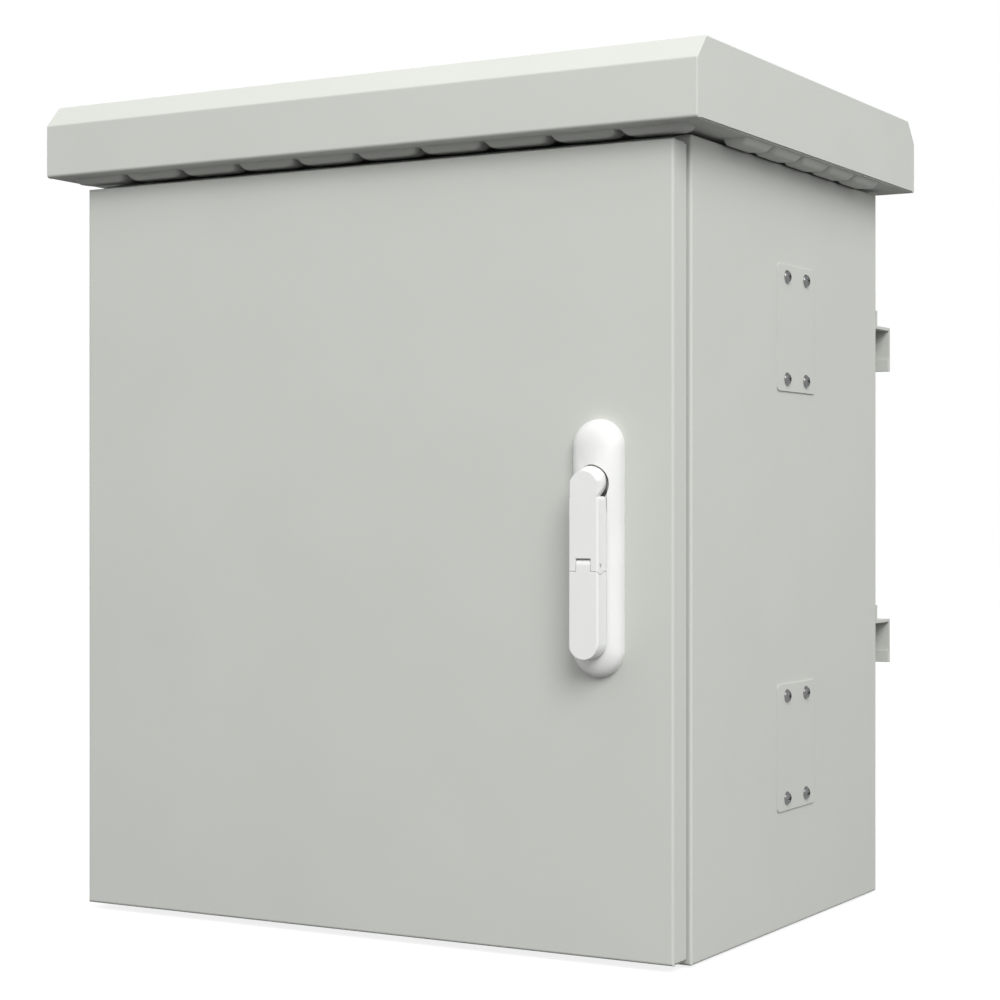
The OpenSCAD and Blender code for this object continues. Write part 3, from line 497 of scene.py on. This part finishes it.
class CABINET_OT_plate_screws(bpy.types.Operator):
    """Pan heads of the side plates: a dome turned about its axis, lowered in a cross recess, with a
    plain shank behind it."""

    bl_idname = "cabinet.plate_screws"
    bl_label = "Plate screws"

    def execute(self, context):
        size = context.scene.cabinet_size
        plates = [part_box(name) for name in SLOTS if name.startswith("side_plate_")]
        low = np.array([plate[0] for plate in plates])
        high = np.array([plate[1] for plate in plates])
        side = np.sign(low[:, 0])
        face = np.where(side > 0, high[:, 0], low[:, 0])
        middle = (low + high) / 2
        corner = np.array([[-1, -1], [-1, 1], [1, -1], [1, 1]])
        step = corner * np.array([size.screw_span, size.screw_rise]) / 2
        seat_y = middle[:, None, 1] + step[None, :, 0]
        seat_z = middle[:, None, 2] + step[None, :, 1]
        radius = size.screw_radius
        reach = np.concatenate([
            [0.0], np.linspace(0.08, 0.62, 12),
            [0.7, 0.8, 0.88, 0.94, 0.98, 1.0, 1.0, 0.5, 0.5, 0.0]]) * radius
        turn = np.linspace(0.0, 2 * np.pi, 48, endpoint=False)
        r, t = np.meshgrid(reach, turn, indexing="ij")
        dome = size.screw_height * (1.0 - 0.92 * (r / radius) ** 3.2)
        a, b = np.abs(r * np.cos(t)), np.abs(r * np.sin(t))
        cross = (np.minimum(a, b) < 0.0009) & (np.maximum(a, b) < 0.58 * radius)
        out = dome - np.where(cross, 0.0016, 0.0)
        out[-4] = 0.0
        out[-3] = 0.0
        out[-2:] = -size.shank
        seat_x = np.broadcast_to(face[:, None], seat_y.shape)
        seat = np.stack([seat_x, seat_y, seat_z], axis=-1).reshape(-1, 3)
        way = np.repeat(side, 4)
        points = np.stack([
            seat[:, 0, None, None] + way[:, None, None] * out,
            seat[:, 1, None, None] + r * np.cos(t), seat[:, 2, None, None] + r * np.sin(t)], axis=-1)
        one = grid_faces(len(reach), len(turn), around=True)
        quads = (one[None] + (np.arange(len(seat)) * r.size)[:, None, None]).reshape(-1, 4)
        surface_piece(
            # The heads take the darkened screw plating: polished metal with painted shade in its reflections.
            "plate_screw_heads", points, quads.tolist(), "zinc_plated", "cabinet", ["plate_screws"],
            soft=True, finish="polished_screw_painted_reflection")
        return {"FINISHED"}


def area_lamp(name, place, aim, size, power):
    """A square area lamp at a place, facing its aim."""
    lamp = bpy.data.lights.new(name, "AREA")
    lamp.size = size
    lamp.energy = power
    holder = bpy.data.objects.new(name, lamp)
    bpy.context.collection.objects.link(holder)
    holder.location = place
    way = np.subtract(aim, place)
    holder.rotation_euler = (
        math.atan2(math.hypot(way[0], way[1]), -way[2]), 0.0, math.atan2(way[1], way[0]) - math.pi / 2)


def white_to_camera(tree, surface, glow):
    """Mixes a surface with plain white for camera, glossy and transmission rays."""
    nodes, links = tree.nodes, tree.links
    path = nodes.new("ShaderNodeLightPath")
    either = nodes.new("ShaderNodeMath")
    either.operation = "MAXIMUM"
    links.new(path.outputs["Is Camera Ray"], either.inputs[0])
    links.new(path.outputs["Is Glossy Ray"], either.inputs[1])
    third = nodes.new("ShaderNodeMath")
    third.operation = "MAXIMUM"
    links.new(either.outputs[0], third.inputs[0])
    links.new(path.outputs["Is Transmission Ray"], third.inputs[1])
    mix = nodes.new("ShaderNodeMixShader")
    links.new(third.outputs[0], mix.inputs[0])
    links.new(surface, mix.inputs[1])
    links.new(glow, mix.inputs[2])
    return mix


class CABINET_OT_stage(bpy.types.Operator):
    """Sets the floor, the even white surround, the lamps and the camera."""

    bl_idname = "cabinet.stage"
    bl_label = "Stage"

    def execute(self, context):
        stage = context.scene.cabinet_stage
        scene = context.scene
        scene.view_settings.view_transform = "Standard"

        world = bpy.data.worlds.new("surround")
        scene.world = world
        world.use_nodes = True
        tree = world.node_tree
        even = tree.nodes["Background"]
        even.inputs["Strength"].default_value = stage.ambient
        white = tree.nodes.new("ShaderNodeBackground")
        white.inputs["Strength"].default_value = 1.0
        for ground in (even, white):
            ground.inputs["Color"].default_value = (1.0, 1.0, 1.0, 1.0)
        mix = white_to_camera(tree, even.outputs[0], white.outputs[0])
        tree.links.new(mix.outputs[0], tree.nodes["World Output"].inputs["Surface"])

        bpy.ops.mesh.primitive_plane_add(size=12.0, location=(0.0, 0.0, -0.002))
        floor = context.object
        floor.name = "studio_floor"
        material, nodes, links, principled = shader("studio_floor", (0.06, 0.06, 0.06), 0.9)
        seen = nodes.new("ShaderNodeAddShader")
        pale = nodes.new("ShaderNodeBsdfDiffuse")
        pale.inputs["Color"].default_value = (0.24, 0.24, 0.24, 1.0)
        glow = nodes.new("ShaderNodeEmission")
        glow.inputs["Color"].default_value = (0.84, 0.84, 0.84, 1.0)
        links.new(pale.outputs[0], seen.inputs[0])
        links.new(glow.outputs[0], seen.inputs[1])
        mix = white_to_camera(material.node_tree, principled.outputs[0], seen.outputs[0])
        links.new(mix.outputs[0], nodes["Material Output"].inputs["Surface"])
        floor.data.materials.append(material)

        front = (0.0, DOOR_LOW.y, 0.36)
        area_lamp("lamp_key", (3.3, -3.9, 3.8), front, 3.0, stage.key)
        area_lamp("lamp_side", (2.6, 0.2, 1.0), front, 1.8, stage.side)
        area_lamp("lamp_top", (0.3, -0.4, 2.6), front, 1.8, stage.top)

        camera = bpy.data.cameras.new("camera")
        camera.sensor_width = 36.0
        camera.lens = stage.lens
        camera.shift_y = stage.shift_y
        holder = bpy.data.objects.new("camera", camera)
        context.collection.objects.link(holder)
        x, y, z = stage.camera_place
        holder.location = (x, BODY_FRONT + y, z)
        holder.rotation_euler = (math.pi / 2, 0.0, stage.camera_turn)
        scene.camera = holder
        return {"FINISHED"}


class CABINET_PT_panel(bpy.types.Panel):
    """Lists the pieces of the cabinet."""

    bl_label = "Rack Cabinet"
    bl_idname = "CABINET_PT_panel"
    bl_space_type = "VIEW_3D"
    bl_region_type = "UI"
    bl_category = "Cabinet"

    def draw(self, context):
        for operator in OPERATORS:
            self.layout.operator(operator.bl_idname)


OPERATORS = (
    CABINET_OT_finishes,
    CABINET_OT_soffit,
    CABINET_OT_hood,
    CABINET_OT_plate_screws,
    CABINET_OT_handle_base,
    CABINET_OT_stage,
)
CLASSES = (CabinetFinish, CabinetSize, CabinetStage, *OPERATORS, CABINET_PT_panel)


def register():
    """Registers the classes and their settings."""
    for item in CLASSES:
        bpy.utils.register_class(item)
    bpy.types.Scene.cabinet_finish = bpy.props.PointerProperty(type=CabinetFinish)
    bpy.types.Scene.cabinet_size = bpy.props.PointerProperty(type=CabinetSize)
    bpy.types.Scene.cabinet_stage = bpy.props.PointerProperty(type=CabinetStage)


def unregister():
    """Takes the settings and the classes away again."""
    del bpy.types.Scene.cabinet_stage
    del bpy.types.Scene.cabinet_size
    del bpy.types.Scene.cabinet_finish
    for item in reversed(CLASSES):
        bpy.utils.unregister_class(item)


def main():
    """Builds every piece in order."""
    register()
    for operator in OPERATORS:
        group, name = operator.bl_idname.split(".")
        getattr(getattr(bpy.ops, group), name)()


if __name__ == "__main__":
    main()
